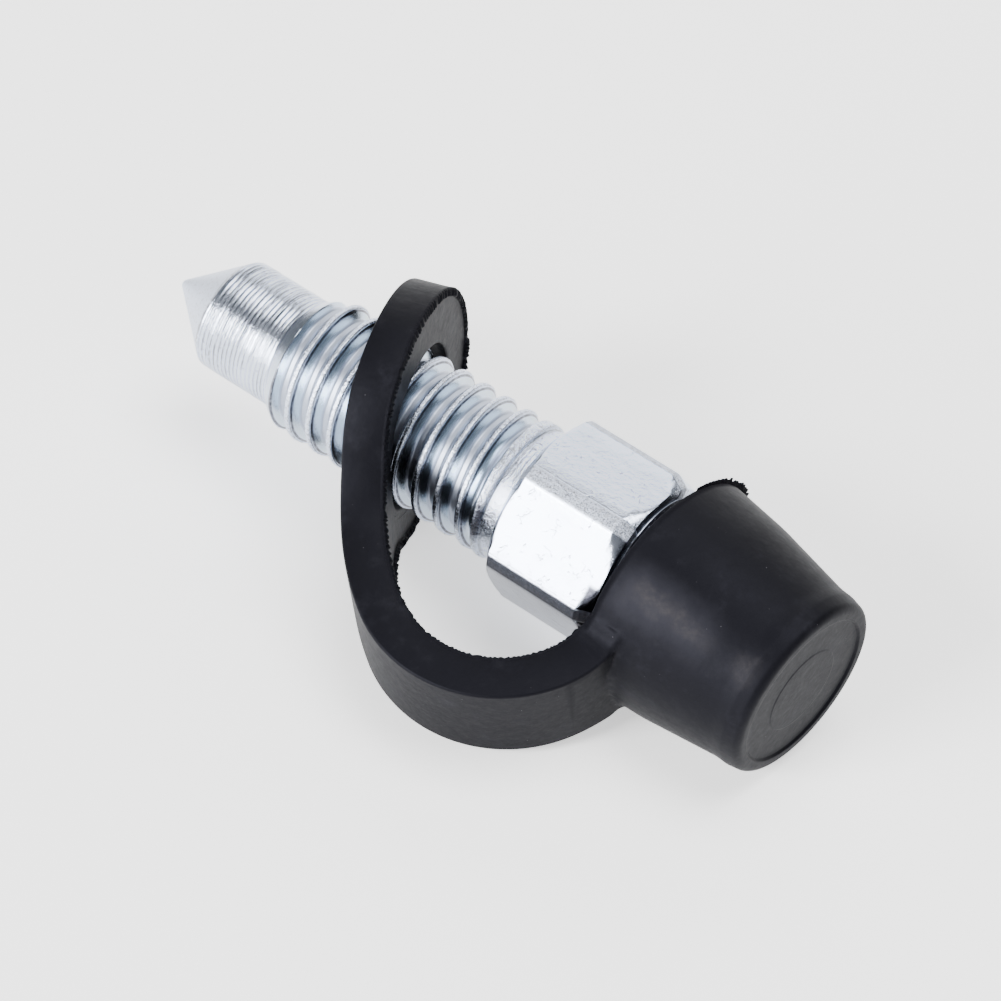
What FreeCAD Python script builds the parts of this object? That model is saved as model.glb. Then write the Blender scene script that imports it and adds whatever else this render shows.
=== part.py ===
import FreeCAD, Part
import math
import os
import Sketcher

from FreeCAD import Placement, Rotation, Vector

# Bleeder screw with its rubber dust cap, in millimetres.
# The modelling frame has X along the screw, from the sharp point of the seat cone to the cap,
# with the strap on the -Y side. A last placement lays both pieces on the floor, with Z up.

doc = FreeCAD.newDocument("bleeder_screw_and_cap")
os.makedirs("parts", exist_ok=True)

SIZES = [
    # seat cone and plain shank
    ("cone_angle", 80.0),
    ("point_radius", 0.22),
    ("shank_end", 8.3),
    ("shank_radius", 3.18),
    # rolled thread, 5/16 inch with 18 turns to the inch
    ("thread_radius", 3.97),
    ("thread_root_radius", 3.22),
    ("thread_pitch", 1.411),
    ("root_flat", 0.28),
    ("crest_flat", 0.2),
    ("groove_lead", 1.92),
    ("lead_in", 1.3),
    ("thread_end", 23.05),
    ("neck_radius", 3.78),
    # hexagon for the spanner
    ("hex_start", 24.2),
    ("hex_length", 6.9),
    ("hex_flats", 9.525),
    ("hex_corner_radius", 5.13),
    ("hex_chamfer", 0.6),
    ("hex_end_radius", 4.25),
    ("hex_turn", 41.2),
    # shoulder and hose nipple under the cap
    ("shoulder_radius", 4.2),
    ("shoulder_length", 0.6),
    ("shoulder_slope", 0.9),
    ("nipple_radius", 2.5),
    ("nipple_length", 3.2),
    ("barb_radius", 3.05),
    ("barb_flat", 0.5),
    ("barb_slope", 2.6),
    ("nipple_end_radius", 2.4),
    # drilled passage
    ("bore_radius", 1.25),
    ("bore_past_port", 0.5),
    ("port_radius", 1.0),
    ("port_place", 6.9),
    ("port_turn", 23.6),
    # cap
    ("mouth_place", 32.2),
    ("mouth_drop", 0.2),
    ("cap_droop", 5.8),
    ("cap_lift", 1.8),
    ("mouth_radius", 6.3),
    ("lip_round", 0.35),
    ("belly_place", 3.6),
    ("belly_radius", 5.97),
    ("waist_radius", 5.22),
    ("waist_back", 1.65),
    ("bead_radius", 5.26),
    ("bead_back", 0.95),
    ("bead_round", 0.8),
    ("cap_length", 9.65),
    ("disc_radius", 4.2),
    ("disc_groove", 0.16),
    ("cavity_radius", 4.2),
    ("end_wall", 2.0),
    ("cavity_mouth_radius", 4.95),
    ("cavity_flare", 1.2),
    # strap and its ring
    ("strap_width", 5.75),
    ("strap_thick", 2.23),
    ("ring_rise", 0.17),
    ("ring_tilt", 18.2),
    ("ring_radius", 7.15),
    ("ring_hole_radius", 4.4),
    ("ring_flare", 5.0),
    ("strap_straight", 2.3),
    ("long_bend_radius", 16.2),
    ("long_bend_angle", 39.0),
    ("short_bend_angle", 120.0),
    ("strap_inset", 1.02),
    ("strap_sink", 0.48),
    # how the two lie on the floor, where the soft rubber gives a little
    ("rest_roll", 17.6),
    ("rest_slope", 2.7),
    ("rest_press", 0.08),
]

# The strap starts at the screw and ends in the cap's wall, so its second bend and the ring's
# place follow from the first bend. The ring's band is bent as far as its flare reaches.
WORKED_OUT = [
    ("long_bend_heading", "=ring_tilt + long_bend_angle"),
    ("short_bend_heading", "=long_bend_heading + short_bend_angle"),
    ("strap_drop", "=mouth_radius - strap_inset + ring_rise"),
    ("short_bend_radius", "=(strap_straight * cos(ring_tilt) - strap_drop"
     " + long_bend_radius * (sin(long_bend_heading) - sin(ring_tilt)))"
     " / (sin(long_bend_heading) - sin(short_bend_heading))"),
    ("ring_place", "=mouth_place + strap_sink - strap_straight * sin(ring_tilt)"
     " - long_bend_radius * (cos(ring_tilt) - cos(long_bend_heading))"
     " - short_bend_radius * (cos(long_bend_heading) - cos(short_bend_heading))"),
    ("flare_reach", "=sqrt((ring_radius + ring_flare) ^ 2 - (strap_width / 2 + ring_flare) ^ 2)"),
    ("ring_bend_angle", "=asin((flare_reach + strap_thick / 2 - strap_straight)"
     " / long_bend_radius) / 1deg"),
]

sheet = doc.addObject("Spreadsheet::Sheet", "sizes")
for row, (name, number) in enumerate(SIZES + WORKED_OUT, start=1):
    sheet.set(f"A{row}", name)
    sheet.set(f"B{row}", str(number))
    sheet.setAlias(f"B{row}", name)
doc.recompute()


def size(name):
    return float(sheet.get(name))


def origin_part(body, role):
    return next(part for part in body.Origin.OriginFeatures if part.Role == role)


def add_sketch(body, name, plane, offset=None):
    # The offset is a placement in the plane's own axes, written as an expression.
    sketch = body.newObject("Sketcher::SketchObject", name)
    sketch.AttachmentSupport = [(origin_part(body, plane), "")]
    sketch.MapMode = "FlatFace"
    if offset is not None:
        sketch.setExpression("AttachmentOffset", offset)
        doc.recompute()
    return sketch


def offset(place, turn="0; 0; 0"):
    return f"create(<<placement>>; create(<<vector>>; {place}); create(<<rotation>>; {turn}))"


def bind(sketch, constraint, name, expression):
    index = sketch.addConstraint(constraint)
    sketch.renameConstraint(index, name)
    sketch.setExpression(f"Constraints.{name}", expression)


def dome(start, end):
    # An arc over the horizontal axis, its centre on the axis. It runs from the end back to the start.
    centre = Vector((end.Length ** 2 - start.Length ** 2) / (2 * (end.x - start.x)), 0, 0)
    angles = [math.atan2(point.y, point.x - centre.x) for point in (end, start)]
    return Part.ArcOfCircle(Part.Circle(centre, Vector(0, 0, 1), (start - centre).Length), *angles)


def closed_outline(sketch, corners):
    # Each corner is a pair of expressions in the sketch's axes, and none is negative.
    # A corner marked "dome" starts a side that is an arc about a point of the horizontal axis.
    values = [[float(sketch.evalExpression(text)) for text in corner[:2]] for corner in corners]
    count = len(corners)
    domed = [index for index, corner in enumerate(corners) if "dome" in corner]
    for index in range(count):
        start = Vector(*values[index], 0)
        end = Vector(*values[(index + 1) % count], 0)
        sketch.addGeometry(dome(start, end) if index in domed else Part.LineSegment(start, end))
    first = [2 if index in domed else 1 for index in range(count)]
    for index in range(count):
        after = (index + 1) % count
        sketch.addConstraint(Sketcher.Constraint("Coincident", index, 3 - first[index], after, first[after]))
    for index in domed:
        sketch.addConstraint(Sketcher.Constraint("PointOnObject", index, 3, -1))
    for index, corner in enumerate(corners):
        for side, kind, line in ((0, "DistanceX", -2), (1, "DistanceY", -1)):
            value = values[index][side]
            if corner[side] == "0":
                sketch.addConstraint(Sketcher.Constraint("PointOnObject", index, first[index], line))
            else:
                distance = Sketcher.Constraint(kind, -1, 1, index, first[index], value)
                bind(sketch, distance, f"{kind}_{index}", corner[side])


def add_circle(sketch, radius, along="0"):
    # A circle on the sketch's horizontal axis.
    place = float(sketch.evalExpression(along))
    sketch.addGeometry(Part.Circle(Vector(place, 0, 0), Vector(0, 0, 1), size(radius)))
    bind(sketch, Sketcher.Constraint("Radius", 0, size(radius)), "radius", f"sizes.{radius}")
    if along == "0":
        sketch.addConstraint(Sketcher.Constraint("Coincident", 0, 3, -1, 1))
    else:
        sketch.addConstraint(Sketcher.Constraint("PointOnObject", 0, 3, -1))
        bind(sketch, Sketcher.Constraint("DistanceX", -1, 1, 0, 3, place), "place", along)


def add_feature(body, kind, name, profile, **expressions):
    feature = body.newObject(f"PartDesign::{kind}", name)
    feature.Profile = profile
    profile.Visibility = False
    for key, expression in expressions.items():
        feature.setExpression(key, expression)
    return feature


def revolve(body, name, profile):
    feature = add_feature(body, "Revolution", name, profile)
    feature.ReferenceAxis = (profile, ["H_Axis"])
    feature.Angle = 360


# Screw: one turned and thread-rolled steel piece.
HEX_END = "(sizes.hex_start + sizes.hex_length)"
SHOULDER_END = f"({HEX_END} + sizes.shoulder_length)"
NIPPLE_START = f"({SHOULDER_END} + sizes.shoulder_slope)"
BARB_START = f"({NIPPLE_START} + sizes.nipple_length)"
BARB_END = f"({BARB_START} + sizes.barb_flat)"
NIPPLE_END = f"({BARB_END} + sizes.barb_slope)"
CONE_SLOPE = "tan(sizes.cone_angle / 2 * 1deg)"


def make_screw():
    body = doc.addObject("PartDesign::Body", "screw_body")
    profile = add_sketch(body, "turned_profile", "XY_Plane")
    closed_outline(profile, [
        (f"sizes.point_radius / {CONE_SLOPE}", "0"),
        (f"sizes.point_radius / {CONE_SLOPE}", "sizes.point_radius"),
        (f"sizes.shank_radius / {CONE_SLOPE}", "sizes.shank_radius"),
        ("sizes.shank_end", "sizes.shank_radius"),
        ("sizes.shank_end + sizes.lead_in", "sizes.thread_radius"),
        ("sizes.thread_end", "sizes.thread_radius"),
        ("sizes.thread_end + sizes.thread_radius - sizes.neck_radius", "sizes.neck_radius"),
        ("sizes.hex_start", "sizes.neck_radius"),
        ("sizes.hex_start", "sizes.hex_end_radius", "dome"),
        ("sizes.hex_start + sizes.hex_chamfer", "sizes.hex_corner_radius"),
        (f"{HEX_END} - sizes.hex_chamfer", "sizes.hex_corner_radius", "dome"),
        (HEX_END, "sizes.shoulder_radius"),
        (SHOULDER_END, "sizes.shoulder_radius"),
        (NIPPLE_START, "sizes.nipple_radius"),
        (BARB_START, "sizes.nipple_radius"),
        (BARB_START, "sizes.barb_radius"),
        (BARB_END, "sizes.barb_radius"),
        (NIPPLE_END, "sizes.nipple_end_radius"),
        (NIPPLE_END, "0"),
    ])
    revolve(body, "turned_blank", profile)
    cut_flats(body)
    cut_thread(body)
    drill_passage(body)
    return body


def cut_flats(body):
    # One slab beside the hexagon, cut six times, leaves the flats on the round blank.
    sketch = add_sketch(body, "flat_slab", "YZ_Plane", offset(
        "0; 0; sizes.hex_start", "sizes.hex_turn + 30; 0; 0"))
    inner, outer = size("hex_flats") / 2, size("hex_corner_radius")
    corners = [(inner, -outer), (2 * outer, -outer), (2 * outer, outer), (inner, outer)]
    for index in range(4):
        start, end = Vector(*corners[index], 0), Vector(*corners[(index + 1) % 4], 0)
        sketch.addGeometry(Part.LineSegment(start, end))
    for index in range(4):
        sketch.addConstraint(Sketcher.Constraint("Coincident", index, 2, (index + 1) % 4, 1))
    sketch.addConstraint(Sketcher.Constraint("Horizontal", 0))
    sketch.addConstraint(Sketcher.Constraint("Horizontal", 2))
    sketch.addConstraint(Sketcher.Constraint("Vertical", 1))
    sketch.addConstraint(Sketcher.Constraint("Symmetric", 0, 1, 3, 1, -1))
    bind(sketch, Sketcher.Constraint("DistanceX", -1, 1, 0, 1, inner), "flat", "sizes.hex_flats / 2")
    bind(sketch, Sketcher.Constraint("DistanceX", -1, 1, 1, 1, 2 * outer),
         "reach", "2 * sizes.hex_corner_radius")
    bind(sketch, Sketcher.Constraint("DistanceY", 0, 1, 3, 1, 2 * outer),
         "spread", "2 * sizes.hex_corner_radius")
    flat = add_feature(body, "Pocket", "hex_flat", sketch, Length="sizes.hex_length")
    flat.Reversed = True
    flats = body.newObject("PartDesign::PolarPattern", "hex_flats")
    flats.Originals = [flat]
    flats.Axis = (origin_part(body, "X_Axis"), [""])
    flats.Angle = 360
    flats.Occurrences = 6
    body.Tip = flats


def cut_thread(body):
    # A V groove swept along a right-hand helix, from clear of the lead-in to the neck.
    sketch = add_sketch(body, "thread_groove", "XY_Plane")
    middle = "(sizes.shank_end - sizes.groove_lead)"
    opening = "((sizes.thread_pitch - sizes.crest_flat) / 2)"
    rise = "(sizes.thread_radius - sizes.thread_root_radius)"
    above = "sizes.crest_flat / 2"
    past = f"({opening} + ({opening} - sizes.root_flat / 2) * {above} / {rise})"
    closed_outline(sketch, [
        (f"{middle} - sizes.root_flat / 2", "sizes.thread_root_radius"),
        (f"{middle} + sizes.root_flat / 2", "sizes.thread_root_radius"),
        (f"{middle} + {past}", f"sizes.thread_radius + {above}"),
        (f"{middle} - {past}", f"sizes.thread_radius + {above}"),
    ])
    thread = add_feature(body, "SubtractiveHelix", "thread", sketch)
    thread.ReferenceAxis = (sketch, ["H_Axis"])
    thread.Mode = "pitch-height-angle"
    thread.setExpression("Pitch", "sizes.thread_pitch")
    thread.setExpression("Height", f"sizes.thread_end - {middle}")


def drill_passage(body):
    # A blind bore from the nipple and a cross port near the cone, as the fluid leaves.
    bore = add_sketch(body, "bore_circle", "YZ_Plane", offset(f"0; 0; {NIPPLE_END}"))
    add_circle(bore, "bore_radius")
    bottom = "(sizes.port_place - sizes.port_radius - sizes.bore_past_port)"
    add_feature(body, "Pocket", "bore", bore, Length=f"{NIPPLE_END} - {bottom}")
    port = add_sketch(body, "port_circle", "XY_Plane", offset("0; 0; 0", "0; 0; sizes.port_turn"))
    add_circle(port, "port_radius", "sizes.port_place")
    add_feature(body, "Pocket", "port", port, Length="1.2 * sizes.shank_radius")


# Dust cap: cap, strap and ring are one rubber moulding.
def make_cap():
    body = doc.addObject("PartDesign::Body", "cap_body")
    profile = add_sketch(body, "cap_profile", "XY_Plane", offset(
        "sizes.mouth_place; -sizes.mouth_drop; 0", "-sizes.cap_droop; -sizes.cap_lift; 0"))
    closed_outline(profile, [
        ("0", "sizes.cavity_mouth_radius"),
        ("0", "sizes.mouth_radius - sizes.lip_round"),
        ("sizes.lip_round", "sizes.mouth_radius"),
        ("sizes.belly_place", "sizes.belly_radius"),
        ("sizes.cap_length - sizes.waist_back", "sizes.waist_radius"),
        ("sizes.cap_length - sizes.bead_back", "sizes.bead_radius"),
        ("sizes.cap_length - 0.3 * sizes.bead_round", "sizes.bead_radius - 0.3 * sizes.bead_round"),
        ("sizes.cap_length", "sizes.bead_radius - sizes.bead_round"),
        ("sizes.cap_length", "sizes.disc_radius + sizes.disc_groove"),
        ("sizes.cap_length - sizes.disc_groove", "sizes.disc_radius"),
        ("sizes.cap_length", "sizes.disc_radius - sizes.disc_groove"),
        ("sizes.cap_length", "0"),
        ("sizes.cap_length - sizes.end_wall", "0"),
        ("sizes.cap_length - sizes.end_wall", "sizes.cavity_radius"),
        ("sizes.cavity_flare", "sizes.cavity_radius"),
    ])
    revolve(body, "cap", profile)
    return body


RING_FRAME = offset("sizes.ring_rise; 0; sizes.ring_place", "180; -sizes.ring_tilt; 0")


def add_band(body, name, width, behind, bends):
    # A flat band swept along a straight and arcs in one plane, from behind the ring's middle.
    back = f"({behind})"
    x_place = f"sizes.ring_place - {back} * sin(sizes.ring_tilt * 1deg)"
    y_place = f"sizes.ring_rise + {back} * cos(sizes.ring_tilt * 1deg)"
    path = add_sketch(body, f"{name}_path", "XY_Plane", offset(
        f"{x_place}; {y_place}; 0", "sizes.ring_tilt - 90; 0; 0"))
    straight = f"{back} + sizes.strap_straight"
    length = float(path.evalExpression(straight))
    path.addGeometry(Part.LineSegment(Vector(0, 0, 0), Vector(length, 0, 0)))
    path.addConstraint(Sketcher.Constraint("Coincident", 0, 1, -1, 1))
    path.addConstraint(Sketcher.Constraint("PointOnObject", 0, 2, -1))
    bind(path, Sketcher.Constraint("DistanceX", 0, 1, 0, 2, length), "straight", straight)
    end, heading = Vector(length, 0, 0), 0
    for index, (radius, angle) in enumerate(bends, start=1):
        aside = Rotation(Vector(0, 0, 1), heading).multVec(Vector(0, size(radius), 0))
        centre = end + aside
        turn = Rotation(Vector(0, 0, 1), size(angle))
        circle = Part.Circle(centre, Vector(0, 0, 1), size(radius))
        start_angle = math.radians(heading - 90)
        end_angle = math.radians(heading - 90 + size(angle))
        path.addGeometry(Part.ArcOfCircle(circle, start_angle, end_angle))
        path.addConstraint(Sketcher.Constraint("Tangent", index - 1, 2, index, 1))
        bind(path, Sketcher.Constraint("Radius", index, size(radius)), f"radius_{index}", f"sizes.{radius}")
        bind(path, Sketcher.Constraint("Angle", index, end_angle - start_angle),
             f"angle_{index}", f"sizes.{angle} * 1deg")
        end = centre - turn.multVec(aside)
        heading += size(angle)
    section = add_sketch(body, f"{name}_section", "YZ_Plane", offset(
        f"{y_place}; 0; {x_place}", "0; sizes.ring_tilt - 90; 0"))
    half_thick = size("strap_thick") / 2
    half_width = float(section.evalExpression(width)) / 2
    corners = [(-half_thick, -half_width), (half_thick, -half_width),
               (half_thick, half_width), (-half_thick, half_width)]
    for index in range(4):
        start, stop = Vector(*corners[index], 0), Vector(*corners[(index + 1) % 4], 0)
        section.addGeometry(Part.LineSegment(start, stop))
    for index in range(4):
        section.addConstraint(Sketcher.Constraint("Coincident", index, 2, (index + 1) % 4, 1))
    section.addConstraint(Sketcher.Constraint("Horizontal", 0))
    section.addConstraint(Sketcher.Constraint("Vertical", 1))
    section.addConstraint(Sketcher.Constraint("Symmetric", 0, 1, 2, 1, -1, 1))
    bind(section, Sketcher.Constraint("DistanceX", 0, 1, 0, 2, 2 * half_thick), "thick", "sizes.strap_thick")
    bind(section, Sketcher.Constraint("DistanceY", 1, 1, 1, 2, 2 * half_width), "width", width)
    band = body.newObject("PartDesign::AdditivePipe", name)
    band.Profile = section
    band.Spine = path
    path.Visibility = False
    section.Visibility = False
    return band


def trim_ring(body):
    # Cuts the wide band to a round ring that flares into the strap.
    sketch = add_sketch(body, "ring_outline", "YZ_Plane", RING_FRAME)
    radius, flare, half = size("ring_radius"), size("ring_flare"), size("strap_width") / 2
    across = half + flare
    along = math.sqrt((radius + flare) ** 2 - across ** 2)
    meet = math.atan2(across, along)
    up = Vector(0, 0, 1)
    ring = Part.Circle(Vector(0, 0, 0), up, radius)
    sketch.addGeometry(Part.ArcOfCircle(ring, meet, 2 * math.pi - meet))
    upper = Part.Circle(Vector(along, across, 0), up, flare)
    sketch.addGeometry(Part.ArcOfCircle(upper, math.pi + meet, 1.5 * math.pi))
    lower = Part.Circle(Vector(along, -across, 0), up, flare)
    sketch.addGeometry(Part.ArcOfCircle(lower, 0.5 * math.pi, math.pi - meet))
    sketch.addGeometry(Part.LineSegment(Vector(along, half, 0), Vector(along, -half, 0)))
    sketch.addGeometry(Part.Circle(Vector(0, 0, 0), up, 2.2 * radius))
    sketch.addConstraint(Sketcher.Constraint("Coincident", 0, 3, -1, 1))
    sketch.addConstraint(Sketcher.Constraint("Coincident", 4, 3, -1, 1))
    sketch.addConstraint(Sketcher.Constraint("Tangent", 0, 1, 1, 1))
    sketch.addConstraint(Sketcher.Constraint("Tangent", 0, 2, 2, 2))
    sketch.addConstraint(Sketcher.Constraint("Coincident", 1, 2, 3, 1))
    sketch.addConstraint(Sketcher.Constraint("Coincident", 2, 1, 3, 2))
    sketch.addConstraint(Sketcher.Constraint("Vertical", 1, 3, 1, 2))
    sketch.addConstraint(Sketcher.Constraint("Vertical", 2, 3, 2, 1))
    sketch.addConstraint(Sketcher.Constraint("Symmetric", 3, 1, 3, 2, -1))
    bind(sketch, Sketcher.Constraint("Radius", 0, radius), "ring", "sizes.ring_radius")
    bind(sketch, Sketcher.Constraint("Radius", 1, flare), "flare", "sizes.ring_flare")
    bind(sketch, Sketcher.Constraint("Radius", 4, 2.2 * radius), "rim", "2.2 * sizes.ring_radius")
    bind(sketch, Sketcher.Constraint("DistanceY", 3, 2, 3, 1, 2 * half), "strap", "sizes.strap_width")
    trim = add_feature(body, "Pocket", "ring_trim", sketch)
    trim.Type = "ThroughAll"
    trim.Midplane = True


def make_strap():
    body = doc.addObject("PartDesign::Body", "strap_body")
    add_band(body, "ring_band", "2.2 * sizes.ring_radius", "1.2 * sizes.ring_radius",
             [("long_bend_radius", "ring_bend_angle")])
    trim_ring(body)
    add_band(body, "strap", "sizes.strap_width", "0",
             [("long_bend_radius", "long_bend_angle"), ("short_bend_radius", "short_bend_angle")])
    hole = add_sketch(body, "ring_hole_circle", "YZ_Plane", offset(
        "0; 0; sizes.ring_place + sizes.ring_radius / 2"))
    add_circle(hole, "ring_hole_radius")
    add_feature(body, "Pocket", "ring_hole", hole, Length="sizes.ring_radius")
    return body


def lay_on_floor(pieces):
    # Turns both about the screw's axis onto the strap, puts the middle of the pair over the
    # origin and lets the lowest point press into the floor.
    roll = Rotation(Vector(1, 0, 0), size("rest_roll"))
    slope = Rotation(Vector(0, 1, 0), size("rest_slope"))
    for piece in pieces:
        piece.Placement = Placement(Vector(0, 0, 0), slope * roll)
    doc.recompute()
    box = Part.makeCompound([piece.Shape for piece in pieces]).optimalBoundingBox(False)
    shift = Vector(-box.Center.x, -box.Center.y, -box.ZMin - size("rest_press"))
    for piece in pieces:
        piece.Placement = Placement(shift, slope * roll)


def flatten_below(piece):
    # The rubber's small flats where it bears on the floor.
    floor = doc.addObject("Part::Box", "floor")
    for side, expression in (("Length", "8 * sizes.ring_radius"), ("Width", "8 * sizes.ring_radius"),
                             ("Height", "sizes.ring_radius"), ("Placement.Base.x", "-4 * sizes.ring_radius"),
                             ("Placement.Base.y", "-4 * sizes.ring_radius"),
                             ("Placement.Base.z", "-sizes.ring_radius")):
        floor.setExpression(side, expression)
    cut = doc.addObject("Part::Cut", "dust_cap")
    cut.Base = piece
    cut.Tool = floor
    return cut


doc.recompute()
screw = make_screw()
cap = make_cap()
strap = make_strap()
moulding = doc.addObject("Part::MultiFuse", "moulding")
moulding.Shapes = [cap, strap]
moulding.Refine = True
screw.Label = "bleeder_screw"
doc.recompute()
lay_on_floor([screw, moulding])
dust_cap = flatten_below(moulding)
doc.recompute()

for item in doc.Objects:
    if "Invalid" in item.State or "Error" in item.State:
        raise RuntimeError(f"{item.Name}: {item.getStatusString()}")

for piece in (screw, dust_cap):
    if not piece.Shape.isValid() or len(piece.Shape.Solids) != 1:
        raise RuntimeError(f"{piece.Label} is not one valid solid")
    piece.Shape.exportStep(f"parts/{piece.Label}.step")
    print(piece.Label, round(piece.Shape.Volume, 1), piece.Shape.optimalBoundingBox(False))
print("model frame origin on the floor", screw.Placement)
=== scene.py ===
import math
from functools import reduce
import bmesh
import bpy
from mathutils import Matrix, Vector
from mathutils.kdtree import KDTree


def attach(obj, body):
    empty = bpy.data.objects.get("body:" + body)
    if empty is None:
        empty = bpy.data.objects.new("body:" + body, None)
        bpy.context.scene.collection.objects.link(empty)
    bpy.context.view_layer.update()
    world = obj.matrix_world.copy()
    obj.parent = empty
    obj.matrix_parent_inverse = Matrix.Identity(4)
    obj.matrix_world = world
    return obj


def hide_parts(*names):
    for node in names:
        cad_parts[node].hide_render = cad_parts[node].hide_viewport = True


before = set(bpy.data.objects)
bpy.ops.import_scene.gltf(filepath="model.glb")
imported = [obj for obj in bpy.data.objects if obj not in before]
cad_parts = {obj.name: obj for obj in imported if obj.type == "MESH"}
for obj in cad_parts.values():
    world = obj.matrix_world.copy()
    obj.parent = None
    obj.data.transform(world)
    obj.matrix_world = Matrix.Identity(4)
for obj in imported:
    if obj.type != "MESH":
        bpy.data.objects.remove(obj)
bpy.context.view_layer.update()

# how the two pieces lie, as in the frame: model axes are in mm, X along the screw towards the cap
lay = {"roll": 17.6, "slope": 2.7, "shift": (-21.2575, 2.8528, 7.80675)}
toWorld = (Matrix.Scale(0.001, 4) @ Matrix.Translation(lay["shift"])
           @ Matrix.Rotation(math.radians(lay["slope"]), 4, "Y")
           @ Matrix.Rotation(math.radians(lay["roll"]), 4, "X"))


def linkPiece(name, data):
    thing = bpy.data.objects.new(name, data)
    bpy.context.scene.collection.objects.link(thing)
    return thing


# camera at the photograph's place, from its fit to the outline of the screw and cap
camera = {"along": 32.01, "down": 20.71, "loopTurn": 66.4, "sight": (-4.761, -4.044, 201.19),
          "anchor": (15.77, 0, 0), "lens": 137.69, "sensor": 36, "clip": (0.01, 10)}


def placeCamera():
    heading, dip, turn = (math.radians(camera[key]) for key in ("along", "down", "loopTurn"))
    level, fall = math.cos(dip), math.sin(dip)
    axis = Vector((level * math.cos(heading), level * math.sin(heading), -fall))
    low = Vector((-fall * math.cos(heading), -fall * math.sin(heading), -level))
    side = axis.cross(low)
    strapWay = low * math.cos(turn) + side * math.sin(turn)
    normal = low * math.sin(turn) - side * math.cos(turn)
    toModel = Matrix((axis, -strapWay, normal))     # from a view with x right, y down, z away
    view = (toModel @ Matrix.Diagonal((1, -1, -1))).to_4x4()
    view.translation = Vector(camera["anchor"]) - toModel @ Vector(camera["sight"])
    world = toWorld @ view
    data = bpy.data.cameras.new("photoCamera")
    data.lens, data.sensor_width = camera["lens"], camera["sensor"]
    data.clip_start, data.clip_end = camera["clip"]
    thing = linkPiece("photoCamera", data)
    thing.matrix_world = (Matrix.Translation(world.to_translation())
                          @ world.to_quaternion().to_matrix().to_4x4())     # leaves out the scale from mm
    bpy.context.scene.camera = thing


# pale floor, and softboxes round the object: place and aim in metres, size, power in watts
studio = {"world": 0.22, "white": (1, 1, 1, 1), "floorReach": 1.5, "paper": (0.9, 0.9, 0.9, 1),
          "paperRough": 0.9, "floorGlow": 0.92,
          "lights": {"overhead": ((0.15, 0.1, 0.9), (0, 0, 0), (0.6, 0.6), 11.0),
                     "key": ((-0.26, -0.8, 0.52), (0, 0, 0.01), (0.32, 0.24), 13.0),
                     "frontLeft": ((-0.35, -0.75, 0.18), (0, 0, 0.01), (0.7, 0.26), 11.0),
                     "back": ((-0.36, 0.82, 0.42), (0, 0, 0.01), (1.0, 0.85), 8.3),
                     "right": ((0.8, -0.25, 0.3), (0, 0, 0.01), (0.5, 0.35), 1.0)}}


def whiteFloor():
    mesh = bpy.data.meshes.new("floor")
    reach = studio["floorReach"]
    mesh.from_pydata([(-reach, -reach, 0), (reach, -reach, 0), (reach, reach, 0), (-reach, reach, 0)],
                     [], [(0, 1, 2, 3)])
    floor = linkPiece("floor", mesh)
    paper = bpy.data.materials.new("whitePaper")
    paper.use_nodes = True
    shader = paper.node_tree.nodes["Principled BSDF"]
    shader.inputs["Base Color"].default_value = studio["paper"]
    shader.inputs["Roughness"].default_value = studio["paperRough"]
    shader.inputs["Emission Color"].default_value = studio["white"]      # a light table under white paper
    shader.inputs["Emission Strength"].default_value = studio["floorGlow"]
    mesh.materials.append(paper)


def addLight(name, place, aim, size, power):
    data = bpy.data.lights.new(name, "AREA")
    data.shape, data.size, data.size_y = "RECTANGLE", size[0], size[1]
    data.energy = power
    thing = linkPiece(name, data)
    thing.location = place
    thing.rotation_euler = (Vector(aim) - Vector(place)).to_track_quat("-Z", "Y").to_euler()


def lightStudio():
    world = bpy.data.worlds.new("studio")
    bpy.context.scene.world = world
    world.use_nodes = True
    world.node_tree.nodes["Background"].inputs["Color"].default_value = studio["white"]
    world.node_tree.nodes["Background"].inputs["Strength"].default_value = studio["world"]
    for name, given in studio["lights"].items():
        addLight(name, *given)


placeCamera()
whiteFloor()
lightStudio()
print("camera, floor and lights placed")


class Socket:
    # one output of a node; arithmetic with it adds Math nodes
    def __init__(self, graph, out):
        self.graph, self.out = graph, out

    def __add__(self, other):
        return self.graph.maths("ADD", self, other)

    __radd__ = __add__

    def __sub__(self, other):
        return self.graph.maths("SUBTRACT", self, other)

    def __rsub__(self, other):
        return self.graph.maths("SUBTRACT", other, self)

    def __mul__(self, other):
        return self.graph.maths("MULTIPLY", self, other)

    __rmul__ = __mul__

    def __truediv__(self, other):
        return self.graph.maths("DIVIDE", self, other)

    def __rtruediv__(self, other):
        return self.graph.maths("DIVIDE", other, self)


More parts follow.
